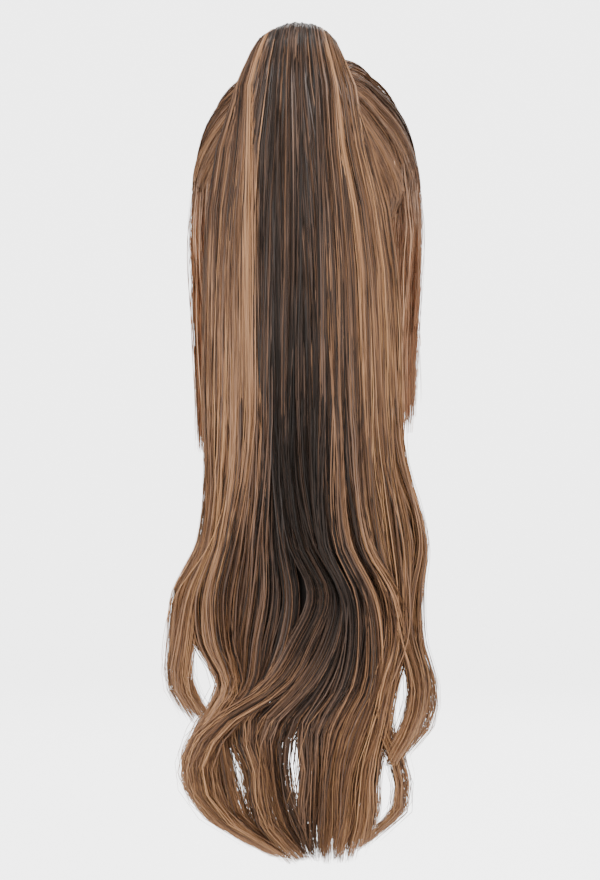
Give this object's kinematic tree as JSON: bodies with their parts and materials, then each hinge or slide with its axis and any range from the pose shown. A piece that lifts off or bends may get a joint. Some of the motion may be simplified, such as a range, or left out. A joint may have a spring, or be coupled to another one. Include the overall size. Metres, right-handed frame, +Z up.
{
  "type": "ponytail wig",
  "caption": "Long wavy ponytail wig: swept-up hair on an open elastic cap, gathered by a tie into a high tail that turns over and hangs, with a lock at each temple.",
  "frame": {"origin": "inside top of the cap, where the crown of a head meets it", "axes": "+Z up out of the head, -Y towards the face, +X towards the wearer's left"},
  "size_m": [0.1961, 0.2556, 0.6445],
  "materials": {
    "cap_net": "dark stretch net",
    "brown_hair": "satin dark brown synthetic fibre with caramel strands",
    "caramel_hair": "satin caramel synthetic fibre",
    "tie_elastic": "matte dark covered elastic"
  },
  "bodies": {
    "root": {"cap": "cap_net", "crown_hair": "brown_hair", "ponytail": "brown_hair", "face_lock_left": "caramel_hair", "face_lock_right": "caramel_hair", "ponytail_tie": "tie_elastic"}
  },
  "joints": []
}
